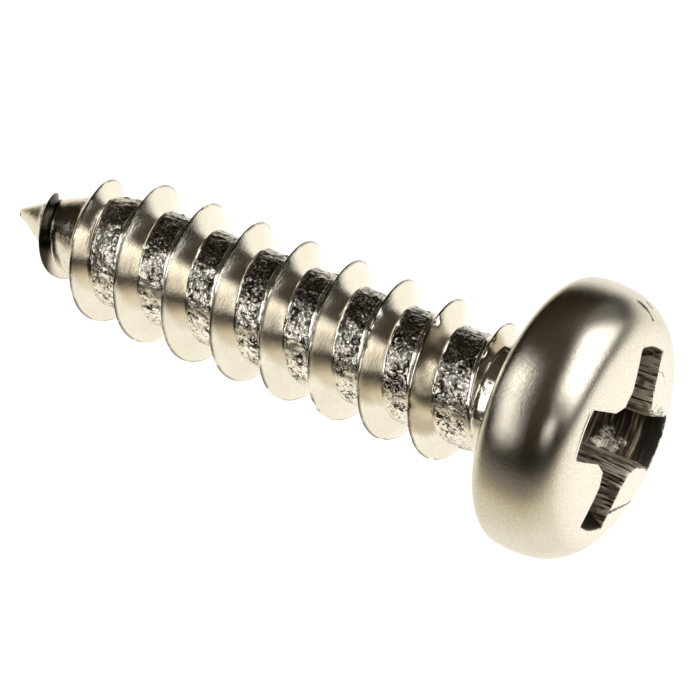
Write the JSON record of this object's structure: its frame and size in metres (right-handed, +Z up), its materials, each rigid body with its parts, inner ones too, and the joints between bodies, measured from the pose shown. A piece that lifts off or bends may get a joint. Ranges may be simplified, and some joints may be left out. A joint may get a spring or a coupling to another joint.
{
  "type": "self-tapping screw",
  "caption": "Short pan-head self-tapping screw with a cross recess, a coarse sharp thread up to the head and a gimlet point, lying on its side.",
  "frame": {"origin": "middle of the bounding box's bottom, on the surface the screw lies on", "axes": "+X along the screw from its point to its head, whose axis rises 6.3 degrees towards +X; +Z up; +Y across"},
  "size_m": [0.0158, 0.0062, 0.0062],
  "materials": {
    "plated_steel": "plated, satin head, smooth flanks and a rough root"
  },
  "bodies": {
    "root": {"screw": "plated_steel"}
  },
  "joints": []
}
